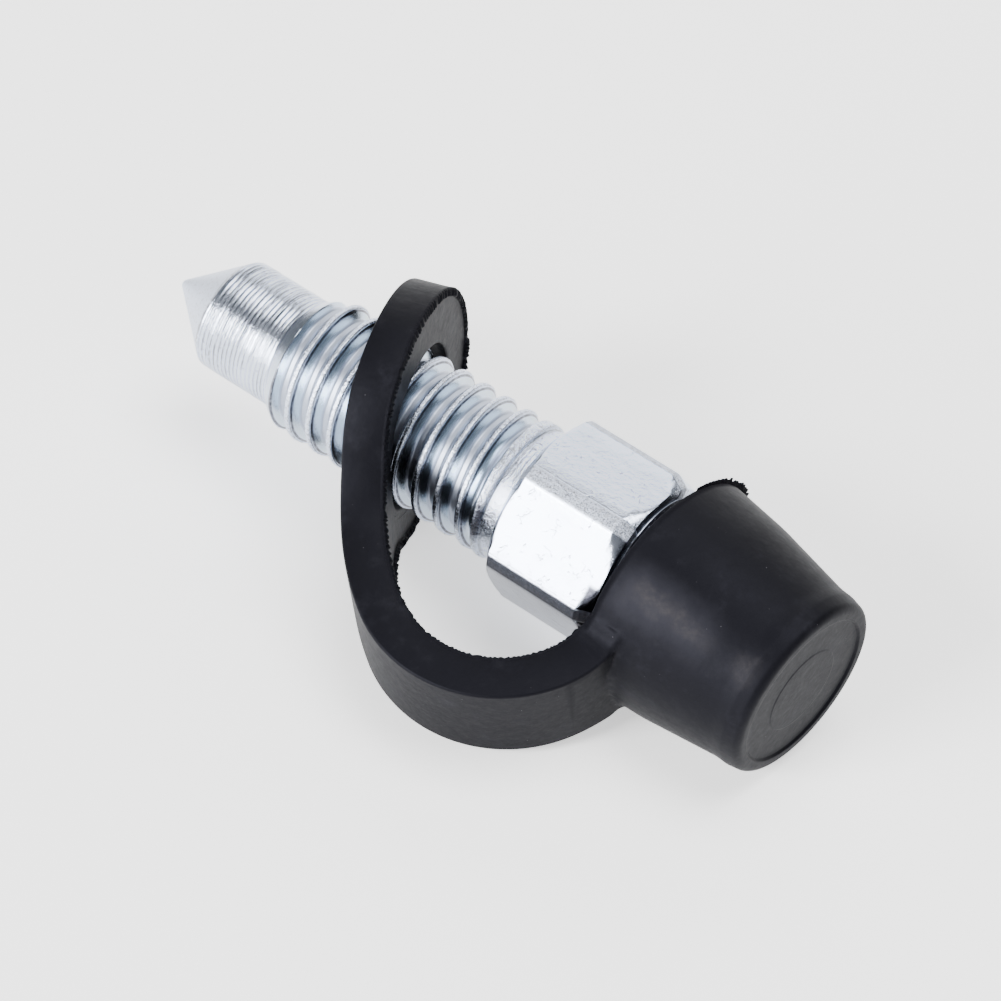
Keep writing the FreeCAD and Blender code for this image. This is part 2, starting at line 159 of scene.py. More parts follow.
class Graph:
    # adds nodes to a tree: type, settings, then the values or links of its sockets
    def __init__(self, tree):
        self.tree = tree

    def add(self, kind, settings=None, values=None):
        node = self.tree.nodes.new(kind)
        for key, value in (settings or {}).items():
            setattr(node, key, value)
        for key, value in (values or {}).items():
            if isinstance(value, Socket):
                self.tree.links.new(value.out, node.inputs[key])
            else:
                node.inputs[key].default_value = value
        return node

    def get(self, kind, output=0, settings=None, values=None):
        return Socket(self, self.add(kind, settings, values).outputs[output])

    def maths(self, operation, *numbers):
        return self.get("ShaderNodeMath", 0, {"operation": operation}, dict(enumerate(numbers)))

    def softMin(self, first, second, width):
        return self.maths("SMOOTH_MIN", first, second, width)

    def least(self, *numbers):
        return reduce(lambda first, second: self.maths("MINIMUM", first, second), numbers)

    def most(self, *numbers):
        return reduce(lambda first, second: self.maths("MAXIMUM", first, second), numbers)

    def ramp(self, value, low, high):
        # 0 below low, 1 above high, with soft ends
        return self.get("ShaderNodeMapRange", 0, {"interpolation_type": "SMOOTHSTEP"},
                        {"Value": value, "From Min": low, "From Max": high})

    def fade(self, value, low, high):
        return 1 - self.ramp(value, low, high)

    def band(self, value, rise, fall):
        # 1 between the two soft ends
        return self.ramp(value, *rise) * self.fade(value, *fall)

    def blend(self, factor, first, second):
        return self.get("ShaderNodeMix", 2, {"data_type": "RGBA"}, {0: factor, 6: first, 7: second})

    def apart(self, vector):
        node = self.add("ShaderNodeSeparateXYZ", None, {0: vector})
        return [Socket(self, node.outputs[key]) for key in ("X", "Y", "Z")]

    def together(self, x, y, z):
        return self.get("ShaderNodeCombineXYZ", 0, None, {0: x, 1: y, 2: z})

    def speckle(self, spot, scale, detail, rough):
        return self.get("ShaderNodeTexNoise", 0, None,
                        {"Vector": spot, "Scale": scale, "Detail": detail, "Roughness": rough})

    def cells(self, spot, scale, feature="F1"):
        return self.get("ShaderNodeTexVoronoi", 0, {"feature": feature}, {"Vector": spot, "Scale": scale})


def newTree(name, given):
    # a Geometry Nodes tree with a named input for each size
    tree = bpy.data.node_groups.new(name, "GeometryNodeTree")
    tree.interface.new_socket("Geometry", in_out="OUTPUT", socket_type="NodeSocketGeometry")
    tree.interface.new_socket("Geometry", in_out="INPUT", socket_type="NodeSocketGeometry")
    for key, value in given.items():
        slot = tree.interface.new_socket(key, in_out="INPUT", socket_type="NodeSocketFloat")
        slot.default_value = value
    g = Graph(tree)
    entry = g.add("NodeGroupInput")
    return g, {key: Socket(g, entry.outputs[key]) for key in ("Geometry", *given)}


def endTree(g, shape, coat):
    shape = g.get("GeometryNodeRealizeInstances", 0, None, {0: shape})
    shape = g.get("GeometryNodeSetMaterial", 0, None, {0: shape, "Material": coat})
    g.add("NodeGroupOutput", None, {0: shape})
    return g.tree


def bakePiece(thing):
    # the evaluated object becomes a plain mesh and its modifiers go
    shape = thing.evaluated_get(bpy.context.evaluated_depsgraph_get())
    mesh = bpy.data.meshes.new_from_object(shape)
    thing.modifiers.clear()
    thing.data = mesh
    return thing


def runTree(thing, tree, given):
    maker = thing.modifiers.new(tree.name, "NODES")
    maker.node_group = tree
    for slot in tree.interface.items_tree:
        if slot.item_type == "SOCKET" and slot.in_out == "INPUT" and slot.name in given:
            maker[slot.identifier] = given[slot.name]
    return bakePiece(thing)


def carve(thing, tool, operation):
    cut = thing.modifiers.new(operation.lower(), "BOOLEAN")
    cut.operation, cut.solver, cut.object = operation, "MANIFOLD", tool
    bakePiece(thing)
    bpy.data.objects.remove(tool)


weld = {"merge": 0.002, "sliver": 0.0005}      # points closer than this become one, in mm


def tidyShell(mesh):
    edit = bmesh.new()
    edit.from_mesh(mesh)
    bmesh.ops.remove_doubles(edit, verts=edit.verts, dist=weld["merge"])
    bmesh.ops.dissolve_degenerate(edit, edges=edit.edges, dist=weld["sliver"])
    bmesh.ops.recalc_face_normals(edit, faces=edit.faces)
    edit.to_mesh(mesh)
    openEdges = sum(1 for edge in edit.edges if len(edge.link_faces) != 2)
    print(mesh.name, "faces", len(edit.faces), "open edges", openEdges)
    edit.free()


def splitMany(edit):
    # faces with more than four corners become triangles
    bmesh.ops.triangulate(edit, faces=[face for face in edit.faces if len(face.verts) > 4])


def roundedPath(corners, step):
    # corners are (x, radius, rounding, spacing after it); arcs go round the corners
    points = []
    for index, (x, r, rounding, spacing) in enumerate(corners):
        here = Vector((x, r))
        ends = []
        if 0 < index < len(corners) - 1 and rounding > 0:
            before = (Vector(corners[index - 1][:2]) - here).normalized()
            after = (Vector(corners[index + 1][:2]) - here).normalized()
            half = before.angle(after) / 2
            reach = rounding / math.tan(half)
            centre = here + (before + after).normalized() * rounding / math.sin(half)
            first, last = here + before * reach - centre, here + after * reach - centre
            swing = first.angle_signed(last)
            count = max(3, round(abs(swing) * rounding / step) + 2)
            for k in range(count):
                turned = Matrix.Rotation(-swing * k / (count - 1), 2) @ first
                ends.append(centre + turned)
        else:
            ends.append(here)
        if points and corners[index - 1][3] > 0:
            gap = ends[0] - points[-1]
            pieces = max(1, math.ceil(gap.length / corners[index - 1][3]))
            start = points[-1]
            points += [start + gap * k / pieces for k in range(1, pieces)]
        points += ends
    return points


def turnedMesh(name, path, angles, radiusAt=None):
    # a closed solid of revolution about X from a path that starts and ends on the axis
    mesh = bmesh.new()
    rows = []
    for x, r in path:
        if r < 1e-6:
            rows.append([mesh.verts.new((x, 0, 0))])
            continue
        row = []
        for angle in angles:
            reach = radiusAt(x, r, angle) if radiusAt else r
            row.append(mesh.verts.new((x, reach * math.cos(angle), reach * math.sin(angle))))
        rows.append(row)
    count = len(angles)
    for first, second in zip(rows, rows[1:]):
        for k in range(count):
            after = (k + 1) % count
            if len(first) == 1:
                mesh.faces.new((first[0], second[after], second[k]))
            elif len(second) == 1:
                mesh.faces.new((first[k], first[after], second[0]))
            else:
                mesh.faces.new((first[k], first[after], second[after], second[k]))
    bmesh.ops.recalc_face_normals(mesh, faces=mesh.faces)
    out = bpy.data.meshes.new(name)
    mesh.to_mesh(out)
    mesh.free()
    return linkPiece(name, out)


def evenAngles(count):
    return [math.tau * k / count for k in range(count)]


def softLeast(first, second, width):
    share = min(max(0.5 + 0.5 * (second - first) / width, 0), 1)
    return second + (first - second) * share - width * share * (1 - share)


# threaded shank, in mm: x runs from the point to the hexagon
shank = {"Start": 0.195, "End": 24.6, "Cone slope": 0.8391, "Point round": 0.35, "Shank radius": 3.18,
         "Shank end": 8.3, "Lead slope": 0.608, "Crest radius": 3.97, "Root radius": 3.22,
         "Pitch": 1.411, "Groove place": 6.38, "Root half": 0.14, "Opening half": 0.62,
         "Thread end": 23.05, "Neck radius": 3.78, "Neck slope": 0.9, "Ring depth": 0.036,
         "Ring pitch": 0.27, "Ring wander": 9.0, "Wobble": 0.025, "Seed": 3.0}
# rows of faces in one pitch and sides round it; the point's ball, by 1 / sin and sin of half the cone's
# angle; widths of soft joins; scales of the noises along and across; where rings and wobble begin;
# how far the run-out reaches before and past the thread's end, and its depth in thread depths
shankMesh = {"rows": 36, "spareRows": 4, "sides": 96, "ballCentre": 1.5557, "ballTouch": 0.6428,
             "leadSoft": 0.12, "coneSoft": 0.06, "soft": 0.1, "ringNoise": (4.2, 0.1),
             "wobbleNoise": (1.3, 4), "ringsFrom": (3.6, 4.2), "wobbleFrom": (8.4, 9.4),
             "runOut": (1.0, 0.1, 1.2), "neckRings": 0.3, "straight": 0.55}


def shankTree():
    fixed = shankMesh
    g, size = newTree("threadedShank", shank)
    step = shank["Pitch"] / fixed["rows"]
    rows = math.ceil((shank["End"] - shank["Start"] + shank["Pitch"]) / step) + fixed["spareRows"]
    grid = g.get("GeometryNodeMeshGrid", 0, None, {"Size X": rows * step, "Size Y": 1.0,
                                                   "Vertices X": rows + 1, "Vertices Y": fixed["sides"] + 1})
    gridX, gridY, _ = g.apart(g.get("GeometryNodeInputPosition"))
    turn = gridY + 0.5
    along = gridX + rows * step / 2 + size["Start"] - size["Pitch"]
    raw = along + size["Pitch"] * turn
    x = g.most(g.least(raw, size["End"]), size["Start"])
    # turned outline: rounded point, cone, shank, lead-in, thread's outside, neck
    centre = size["Point round"] * fixed["ballCentre"]      # 1 / sin of half the cone's angle, then sin
    away = x - centre
    ball = g.maths("SQRT", g.most(size["Point round"] * size["Point round"] - away * away, 0.0))
    inBall = g.maths("LESS_THAN", x, centre - size["Point round"] * fixed["ballTouch"])
    cone = ball * inBall + x * size["Cone slope"] * (1 - inBall)
    across, up = g.maths("COSINE", turn * math.tau), g.maths("SINE", turn * math.tau)
    long, wide = fixed["ringNoise"]
    ringNoise = g.speckle(g.together(x * long + size["Seed"], across * wide, up * wide), 1.0, 2.0, 0.5)
    ridge = g.maths("SINE", x * (math.tau / size["Ring pitch"]) + ringNoise * size["Ring wander"])
    rings = (ringNoise - 0.5) * size["Ring depth"] + ridge * size["Ring depth"] * 0.5
    plain = size["Shank radius"] + rings * g.ramp(x, *fixed["ringsFrom"])
    lead = size["Shank radius"] + (x - size["Shank end"]) * size["Lead slope"]
    outside = g.most(plain, g.softMin(lead, size["Crest radius"], fixed["leadSoft"]))
    fall = g.most(size["Crest radius"] - (x - size["Thread end"]) * size["Neck slope"],
                  size["Neck radius"] + rings * fixed["neckRings"])
    outside = g.softMin(g.softMin(cone, outside, fixed["coneSoft"]), fall, fixed["soft"])
    # rolled groove, a V with a round root and rounded crests
    turns = (x - size["Groove place"]) / size["Pitch"] - turn
    fromRoot = g.maths("PINGPONG", turns, 0.5) * size["Pitch"]
    rise = (fromRoot - size["Root half"]) / (size["Opening half"] - size["Root half"])
    rise = g.most(g.least(rise, 1.0), 0.0)
    curved = rise * rise * (3 - 2 * rise)
    depth = size["Crest radius"] - size["Root radius"]
    before, after, deep = fixed["runOut"]
    runOut = g.ramp(x, size["Thread end"] - before, size["Thread end"] + after) * depth * deep
    long, wide = fixed["wobbleNoise"]
    wobble = g.speckle(g.together(x * long + size["Seed"], across * wide, up * wide), 1.2, 3.0, 0.5) - 0.5
    slope = rise * fixed["straight"] + curved * (1 - fixed["straight"])
    groove = size["Root radius"] + slope * depth + runOut + wobble * size["Wobble"]
    radius = g.softMin(outside, groove, fixed["soft"])
    radius = radius + wobble * size["Wobble"] * g.ramp(x, *fixed["wobbleFrom"]) * curved
    # rows past the two ends close them on the axis
    radius = radius * g.maths("LESS_THAN", raw, size["End"] + step * 1.5)
    radius = g.most(radius, 0.0) * g.maths("GREATER_THAN", raw, size["Start"] + 0.001)
    place = g.together(x, radius * across, radius * up)
    shape = g.get("GeometryNodeSetPosition", 0, None, {"Geometry": grid, "Position": place})
    shape = g.get("GeometryNodeMergeByDistance", 0, None, {"Geometry": shape, "Distance": weld["merge"]})
    shape = g.get("GeometryNodeSetShadeSmooth", 0, None, {0: shape})
    return endTree(g, shape, zincSteel)


def makeShank():
    thing = linkPiece("threadedShank", bpy.data.meshes.new("threadedShank"))
    runTree(thing, shankTree(), shank)
    tidyShell(thing.data)
    return thing


# hexagon, shoulder and hose nipple, in mm; turn is the angle of a corner, and the nipple's places
# are counted from the hexagon's end
head = {"start": 24.2, "end": 31.1, "flats": 9.46, "corner": 5.22, "endRadius": 4.25, "chamfer": 0.6,
        "backChamfer": (0.82, 0.45), "turn": 41.2, "edgeRound": 0.07, "shoulder": (0.6, 4.2),
        "tube": (1.5, 2.5), "barb": (4.7, 3.05), "barbEnd": 5.2, "tip": (7.8, 2.4)}


def makeHead():
    x0, x1 = head["start"], head["end"]
    back, drop = head["backChamfer"]
    shoulder, tube, barb, tip = ((x1 + past, radius) for past, radius in
                                 (head[key] for key in ("shoulder", "tube", "barb", "tip")))
    path = roundedPath([(x0, 0, 0, 1.0),
                        (x0, head["endRadius"], 0.06, 0.045),
                        (x0 + head["chamfer"], head["corner"], 0.08, 0.5),
                        (x1 - back, head["corner"], 0.08, 0.045),
                        (x1 - 0.03, head["corner"] - drop, 0.05, 0.1),
                        (x1, shoulder[1], 0.02, 0.3),
                        (*shoulder, 0.1, 0.3),
                        (*tube, 0.15, 0.5),
                        (barb[0], tube[1], 0.1, 0.3),
                        (*barb, 0.08, 0.3),
                        (x1 + head["barbEnd"], barb[1], 0.08, 0.5),
                        (*tip, 0.12, 0.5),
                        (tip[0], 0, 0, 0.5)], 0.03)
    # angles from a flat's middle, close together where the flat meets its corner
    half = math.degrees(math.acos(head["flats"] / 2 / head["corner"]))
    spread = [0, 6, 12, 17, half - 1.2, half - 0.6, half - 0.2, half + 0.2, half + 0.6, half + 1.2,
              0.5 * half + 15, 0.25 * half + 22.5]
    sides = sorted(set(round(value, 4) for value in spread + [-value for value in spread] + [30]))
    angles = [math.radians(head["turn"] + 30 + 60 * k + side) for k in range(6) for side in sides]

    def clip(x, r, angle):
        beta = (math.degrees(angle) - head["turn"]) % 60 - 30
        flat = head["flats"] / 2 / math.cos(math.radians(beta))
        return softLeast(r, flat, head["edgeRound"]) if x0 <= x <= x1 else r

    return turnedMesh("hexHead", path, angles, clip)


# bore from the nipple's end, and the cross port into it
passage = {"bore": 1.25, "from": 5.4, "to": 45, "port": 1.0, "portPlace": 6.9, "portTurn": 23.6,
           "portFrom": 0.5, "portTo": 6, "sides": 48}


def rod(radius, start, stop):
    return turnedMesh("drill", [(start, 0), (start, radius), (stop, radius), (stop, 0)],
                      evenAngles(passage["sides"]))


def makeScrew():
    screw = makeShank()
    carve(screw, makeHead(), "UNION")
    carve(screw, rod(passage["bore"], passage["from"], passage["to"]), "DIFFERENCE")
    port = rod(passage["port"], passage["portFrom"], passage["portTo"])
    port.data.transform(Matrix.Translation((passage["portPlace"], 0, 0))
                        @ Matrix.Rotation(math.radians(passage["portTurn"]), 4, "X")
                        @ Matrix.Rotation(math.radians(90), 4, "Y"))
    carve(screw, port, "DIFFERENCE")
    screw.name = screw.data.name = "turnedScrew"
    return screw


def finishPiece(thing, node, coat, sharp=50):
    tidyShell(thing.data)
    mesh = thing.data
    mesh.transform(toWorld)
    for vertex in mesh.vertices:
        vertex.co.z = max(vertex.co.z, 0)
    mesh.shade_smooth()
    mesh.set_sharp_from_angle(angle=math.radians(sharp))
    mesh.materials.clear()
    mesh.materials.append(coat)
    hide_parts(node)
    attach(thing, node)


# dust cap: turned cup about its own axis. Belly is its place, radius and rounding; waist and bead are
# counted from the disc's end; ridge is the faint circle in the disc, its two radii and height
cup = {"place": (32.2, -0.2, 0), "droop": 5.8, "lift": 1.8, "mouth": 6.3, "lip": 0.35,
       "belly": (3.6, 5.97, 12.0), "waist": (1.65, 5.24), "bead": (0.95, 5.23), "endRound": (0.2, 0.5),
       "length": 9.65, "disc": 4.2, "rimWidth": 0.1, "recess": 0.13, "ridge": (2.46, 2.36, 0.03),
       "cavity": 4.2, "depth": 7.65, "cavityFlare": 1.2, "cavityMouth": 4.95, "sides": 160}
cupToModel = (Matrix.Translation(cup["place"]) @ Matrix.Rotation(math.radians(-cup["droop"]), 4, "Z")
              @ Matrix.Rotation(math.radians(-cup["lift"]), 4, "Y"))


def makeCup():
    end, floor = cup["length"], cup["length"] - cup["recess"]
    (waistBack, waist), (beadBack, bead), (shrink, endRound) = cup["waist"], cup["bead"], cup["endRound"]
    outer, inner, lift = cup["ridge"]
    path = roundedPath([(cup["depth"], 0, 0, 0.6),
                        (cup["depth"], cup["cavity"], 0.3, 0.6),
                        (cup["cavityFlare"], cup["cavity"], 0.3, 0.3),
                        (0, cup["cavityMouth"], 0.12, 0.3),
                        (0, cup["mouth"], cup["lip"], 0.25),
                        (*cup["belly"], 0.25),
                        (end - waistBack, waist, 3.0, 0.2),
                        (end - beadBack, bead, 0.8, 0.2),
                        (end, bead - shrink, endRound, 0.1),
                        (end, cup["disc"] + cup["rimWidth"], 0.05, 0.06),
                        (floor, cup["disc"], 0.05, 0.4),
                        (floor, outer, 0.05, 0.4),
                        (floor + lift, inner, 0.05, 0.4),
                        (floor + lift, 0, 0, 0.4)], 0.08)
    thing = turnedMesh("dustCup", path, evenAngles(cup["sides"]))
    thing.data.transform(cupToModel)
    return thing


# strap and ring: a flat plate that is bent along a straight and two arcs, (radius, degrees) each.
# Root is its flat end, the length over which it widens, and by how much; the hole goes straight
# through the tilted ring, so it is long and shifted, and slants within holeZone times its size
strap = {"ringPlace": 15.058, "rise": 0.17, "tilt": 18.2, "ring": 7.15, "flare": 5.0, "width": 5.75,
         "thick": 2.23, "straight": 2.3, "bends": ((16.2, 39.0), (6.686, 120.0)), "tail": 0.35,
         "edge": 0.14, "slice": 0.3, "root": (0.5, 2.8, 0.85), "hole": 4.4, "holeLong": 4.63,
         "holeShift": 0.18, "holeZone": 1.12, "ringSteps": 72, "flareSteps": 12, "rootSteps": 8,
         "holeSteps": 64}


def bendPlate(u, w, h):
    # u along the strap from the ring's middle, w across it, h through it
    heading = math.radians(strap["tilt"])
    x, y = strap["ringPlace"], strap["rise"]
    run = min(u, strap["straight"])
    x, y = x + run * math.sin(heading), y - run * math.cos(heading)
    left = u - run
    for radius, swing in strap["bends"]:
        arc = min(max(left, 0), radius * math.radians(swing))
        after = heading + arc / radius
        x += radius * (math.cos(heading) - math.cos(after))
        y += radius * (math.sin(heading) - math.sin(after))
        heading, left = after, left - arc
    if left > 0:
        x, y = x + left * math.sin(heading), y - left * math.cos(heading)
    return Vector((x + h * math.cos(heading), y + h * math.sin(heading), w))


def plateOutline():
    ring, flare, half = strap["ring"], strap["flare"], strap["width"] / 2
    across = half + flare
    reach = math.sqrt((ring + flare) ** 2 - across ** 2)
    meet = math.atan2(across, reach)
    end = strap["straight"] + sum(r * math.radians(a) for r, a in strap["bends"]) + strap["tail"]
    points = []
    count, curved, widening = strap["ringSteps"], strap["flareSteps"], strap["rootSteps"]
    for k in range(count + 1):
        angle = meet + (math.tau - 2 * meet) * k / count
        points.append((ring * math.cos(angle), ring * math.sin(angle)))
    swing = math.pi / 2 - meet
    for k in range(1, curved + 1):       # lower flare
        angle = math.pi - meet - swing * k / curved
        points.append((reach + flare * math.cos(angle), -across + flare * math.sin(angle)))
    flat, long, rise = strap["root"]
    shares = [k / widening for k in range(widening + 1)]
    spread = [(end - flat - long * (1 - share), half + rise * (1 - math.sqrt(1 - share ** 2)))
              for share in shares]
    points += [(u, -w) for u, w in spread] + [(end, -half - rise), (end, half + rise)]
    points += [(u, w) for u, w in reversed(spread)]
    for k in range(curved):              # upper flare, back to the ring
        angle = -math.pi / 2 - swing * k / curved
        points.append((reach + flare * math.cos(angle), across + flare * math.sin(angle)))
    return points


def makeStrap():
    curve = bpy.data.curves.new("strapPlate", "CURVE")
    curve.dimensions, curve.fill_mode = "2D", "BOTH"
    curve.extrude = strap["thick"] / 2 - strap["edge"]
    curve.bevel_depth, curve.bevel_resolution, curve.offset = strap["edge"], 2, -strap["edge"]
    tilt = math.radians(strap["tilt"])
    hole = [(strap["holeShift"] + strap["hole"] / math.cos(tilt) * math.cos(angle),
             strap["hole"] * math.sin(angle)) for angle in evenAngles(strap["holeSteps"])]
    for points in (plateOutline(), hole):
        spline = curve.splines.new("POLY")
        spline.points.add(len(points) - 1)
        for point, (u, w) in zip(spline.points, points):
            point.co = (u, w, 0, 1)
        spline.use_cyclic_u = True
    flat = linkPiece("strapPlate", curve)
    mesh = bpy.data.meshes.new_from_object(flat.evaluated_get(bpy.context.evaluated_depsgraph_get()))
    bpy.data.objects.remove(flat)
    edit = bmesh.new()
    edit.from_mesh(mesh)
    bmesh.ops.remove_doubles(edit, verts=edit.verts, dist=weld["sliver"])
    place = -strap["ring"] + strap["slice"]
    end = max(vertex.co.x for vertex in edit.verts)
    while place < end:       # narrow slices, so that the plate can bend
        bmesh.ops.bisect_plane(edit, geom=edit.verts[:] + edit.edges[:] + edit.faces[:], dist=1e-5,
                               plane_co=(place, 0, 0), plane_no=(1, 0, 0))
        place += strap["slice"]
    for vertex in edit.verts:
        u, w, h = vertex.co
        fromHole = math.hypot((u - strap["holeShift"]) / strap["holeLong"], w / strap["hole"])
        slant = math.tan(tilt) * h if fromHole < strap["holeZone"] else 0
        vertex.co = bendPlate(u + slant, w, h)
    splitMany(edit)
    bmesh.ops.recalc_face_normals(edit, faces=edit.faces)
    edit.to_mesh(mesh)
    edit.free()
    return linkPiece("strapAndRing", mesh)


# thin ragged flash that the mould leaves: a closed strip along an edge, its tip torn by a tree.
# A section's points are (out, lift, share of the tear); lean turns the tear from lift to out
edgeStrip = {"tear": {"Height": 0.15, "Tooth": 0.29, "Tear": 0.3, "Slow scale": 0.45, "Quick scale": 2.1,
                      "Seed": 2.0}, "lean": 0.15,
             "section": [(-0.46, -0.08, 0), (-0.44, 0.02, 0.6), (-0.38, 0.05, 1), (-0.30, 0.05, 1),
                         (-0.03, 0.01, 0.55), (0.03, -0.05, 0.35), (0.01, -0.16, 0), (-0.1, -0.2, 0)],
             "spacing": 0.065, "endGap": 0.7, "ringReach": 9, "strapFrom": 6, "farShare": 0.55,
             "topShare": 0.45, "topFrom": -2, "fadeFrom": 13, "fadeLength": 6, "leastShare": 0.3}
lipStrip = {"tear": {"Height": 0.46, "Tooth": 0.33, "Tear": 0.4, "Slow scale": 0.45, "Quick scale": 2.1,
                     "Seed": 5.0}, "lean": 1.0,
            "section": [(-0.1, -0.16, 0), (-0.12, 0.06, 0), (0.12, 0.07, 1), (0.14, -0.03, 1)],
            "count": 120, "from": 60, "swing": 57, "inset": (0.12, 0.2), "thinEnd": 0.12}


def flashTree(name, given):
    g, size = newTree(name, given)
    run, reach = (g.get("GeometryNodeInputNamedAttribute", 0, {"data_type": "FLOAT"}, {"Name": key})
                  for key in ("run", "reach"))
    out = g.get("GeometryNodeInputNamedAttribute", 0, {"data_type": "FLOAT_VECTOR"}, {"Name": "out"})
    slow = g.speckle(g.together(run * size["Slow scale"], size["Seed"], 0.0), 1.0, 3.0, 0.6)
    quick = g.speckle(g.together(run * size["Quick scale"], size["Seed"], 4.0), 1.0, 3.0, 0.6)
    quick = g.maths("POWER", quick * 1.8, 2.0)
    saw = g.maths("PINGPONG", run / size["Tooth"] + slow * 9.0, 0.5) * 2
    length = size["Height"] * (0.35 + slow * 1.1) + size["Tear"] * (saw - 0.5) * quick
    push = g.get("ShaderNodeVectorMath", 0, {"operation": "SCALE"},
                 {0: out, "Scale": g.most(length, 0.0) * reach})
    shape = g.get("GeometryNodeSetPosition", 0, None, {"Geometry": size["Geometry"], "Offset": push})
    return endTree(g, shape, blackRubber)


def tornStrip(name, stations, strip):
    # stations are (place, outward, lift, share of the tear)
    section, lean = strip["section"], strip["lean"]
    mesh = bmesh.new()
    runLayer, reachLayer, tornLayer = (mesh.verts.layers.float.new(key)
                                       for key in ("run", "reach", "torn"))
    outLayer = mesh.verts.layers.float_vector.new("out")
    rows, run = [], 0
    for index, (place, outward, lift, share) in enumerate(stations):
        run += (place - stations[index - 1][0]).length if index else 0
        row = []
        for across, up, reach in section:
            vertex = mesh.verts.new(place + outward * across + lift * up)
            vertex[runLayer], vertex[reachLayer], vertex[tornLayer] = run, reach * share, 1.0
            vertex[outLayer] = (outward * lean + lift * (1 - lean)).normalized()
            row.append(vertex)
        rows.append(row)
    for first, second in zip(rows, rows[1:]):
        for k in range(len(section)):
            after = (k + 1) % len(section)
            mesh.faces.new((first[k], first[after], second[after], second[k]))
    mesh.faces.new(rows[0])
    mesh.faces.new(rows[-1][::-1])
    bmesh.ops.recalc_face_normals(mesh, faces=mesh.faces)
    data = bpy.data.meshes.new(name)
    mesh.to_mesh(data)
    mesh.free()
    return runTree(linkPiece(name, data), flashTree(name, strip["tear"]), strip["tear"])


def edgeFlash():
    # along the ring's and strap's outline, on the side towards the loop
    strip = edgeStrip
    outline = plateOutline()
    end = max(u for u, w in outline)
    start = next(k for k, (u, w) in enumerate(outline) if u == end and w > 0)
    tail = end - strap["root"][0] - strip["endGap"]
    loop = outline[start:] + outline[:start]
    points = []
    for (u0, w0), (u1, w1) in zip(loop, loop[1:]):
        pieces = max(1, round(math.hypot(u1 - u0, w1 - w0) / strip["spacing"]))
        points += [(u0 + (u1 - u0) * k / pieces, w0 + (w1 - w0) * k / pieces) for k in range(pieces)]
    top = strap["thick"] / 2
    stations = []
    for k in range(2, len(points) - 2):
        (u, w), (ua, wa), (ub, wb) = points[k], points[k - 2], points[k + 2]
        if u > tail:
            continue
        place = bendPlate(u, w, top)
        side = (bendPlate(ub, wb, top) - bendPlate(ua, wa, top)).normalized()
        lift = (place - bendPlate(u, w, top - 1)).normalized()
        outward = side.cross(lift).normalized()
        onRing = math.hypot(u, w) < strip["ringReach"]
        if outward.dot(bendPlate(u * 1.02 if onRing else u, w * 1.02, top) - place) < 0:
            outward = -outward
        share = 1.0
        if w <= 0 and u >= strip["fadeFrom"]:       # lower on the near edge as it comes to the cap
            share = max(strip["leastShare"], 1 - (u - strip["fadeFrom"]) / strip["fadeLength"])
        if w > 0 and u > strip["strapFrom"]:
            share *= strip["farShare"]
        elif w > strip["topFrom"]:
            share *= strip["topShare"]
        stations.append((place, outward, lift, share))
    return tornStrip("edgeFlash", stations, strip)


def lipFlash():
    # a torn fin on the far side of the cap's mouth
    strip = lipStrip
    along, inward = strip["inset"]
    turned = cupToModel.to_3x3()
    stations = []
    for k in range(strip["count"]):
        share = k / (strip["count"] - 1)
        angle = math.radians(strip["from"] - strip["swing"] * share)
        outward = Vector((0, math.cos(angle), math.sin(angle)))
        place = cupToModel @ (Vector((along, 0, 0)) + outward * (cup["mouth"] - inward))
        stations.append((place, turned @ outward, turned @ Vector((-1, 0, 0)),
                         strip["thinEnd"] + (1 - strip["thinEnd"]) * share))
    return tornStrip("lipFlash", stations, strip)


# the soft fold where the strap runs into the cap: its edges crease at least so far inwards, past a
# place on the axis and a radius. Edges near it are split down to the lengths, then points are relaxed
softFold = {"crease": -0.5, "from": 29, "radius": 5.2, "reach": 0.9, "splitReach": 1.44,
            "lengths": (0.6, 0.3, 0.16), "rounds": 18, "pull": 0.6}


def softenJoin(thing):
    edit = bmesh.new()
    edit.from_mesh(thing.data)
    splitMany(edit)

    def middleOf(edge):
        return (edge.verts[0].co + edge.verts[1].co) / 2

    def isOut(spot):
        return math.hypot(spot.y, spot.z) > softFold["radius"]

    marks = [middleOf(edge) for edge in edit.edges
             if len(edge.link_faces) == 2 and edge.calc_face_angle_signed(0) < softFold["crease"]]
    marks = [mark for mark in marks if mark.x > softFold["from"] and isOut(mark)]
    tree = KDTree(len(marks))
    for index, mark in enumerate(marks):
        tree.insert(mark, index)
    tree.balance()
    for limit in softFold["lengths"]:
        longEdges = [edge for edge in edit.edges if edge.calc_length() > limit
                     and tree.find(middleOf(edge))[2] < softFold["splitReach"]]
        bmesh.ops.subdivide_edges(edit, edges=longEdges, cuts=1)
        splitMany(edit)
    reach = softFold["reach"]
    near = []
    for vertex in edit.verts:
        away = tree.find(vertex.co)[2]
        if away < reach and isOut(vertex.co):
            near.append((vertex, (1 - (away / reach) ** 2) ** 2 * softFold["pull"]))
    for _ in range(softFold["rounds"]):
        moved = []
        for vertex, weight in near:
            around = [edge.other_vert(vertex).co for edge in vertex.link_edges]
            moved.append(vertex.co.lerp(sum(around, Vector()) / len(around), weight))
        for (vertex, weight), place in zip(near, moved):
            vertex.co = place
    edit.to_mesh(thing.data)
    edit.free()


def makeRubber():
    rubber = makeCup()
    carve(rubber, makeStrap(), "UNION")
    softenJoin(rubber)
    tidyShell(rubber.data)
    for part in (edgeFlash(), lipFlash()):
        with bpy.context.temp_override(active_object=rubber, object=rubber, selected_objects=[rubber, part],
                                       selected_editable_objects=[rubber, part]):
            bpy.ops.object.join()
    rubber.name = rubber.data.name = "rubberCap"
    return rubber


